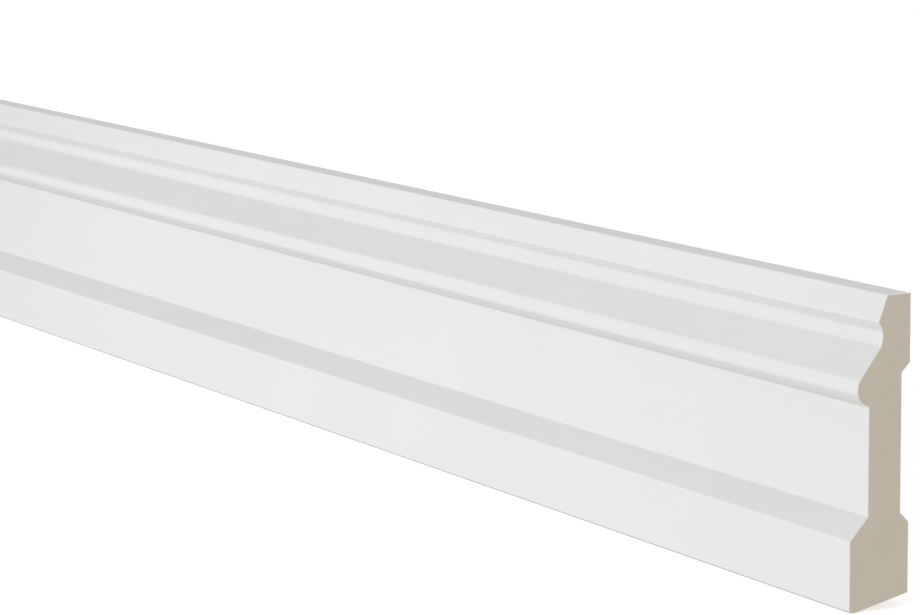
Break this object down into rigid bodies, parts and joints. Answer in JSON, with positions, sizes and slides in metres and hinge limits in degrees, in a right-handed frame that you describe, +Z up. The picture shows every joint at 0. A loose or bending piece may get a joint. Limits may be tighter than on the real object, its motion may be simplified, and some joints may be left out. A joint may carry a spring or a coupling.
{
  "type": "skirting board",
  "caption": "Moulded skirting board: chamfered plinth, flat plate, round bead, slope, cove and sloping fascia, with a relieved back and bevelled underside, cut square at both ends.",
  "frame": {"origin": "on the wall plane, halfway up the lower back pad and halfway along the board", "axes": "+X along the board's length, +Y into the wall, away from the moulded face, and +Z up"},
  "size_m": [0.8, 0.022, 0.1],
  "materials": {
    "white_coating": "satin",
    "raw_fibreboard": "matte"
  },
  "bodies": {
    "root": {"skirting_board": "white_coating"}
  },
  "joints": []
}
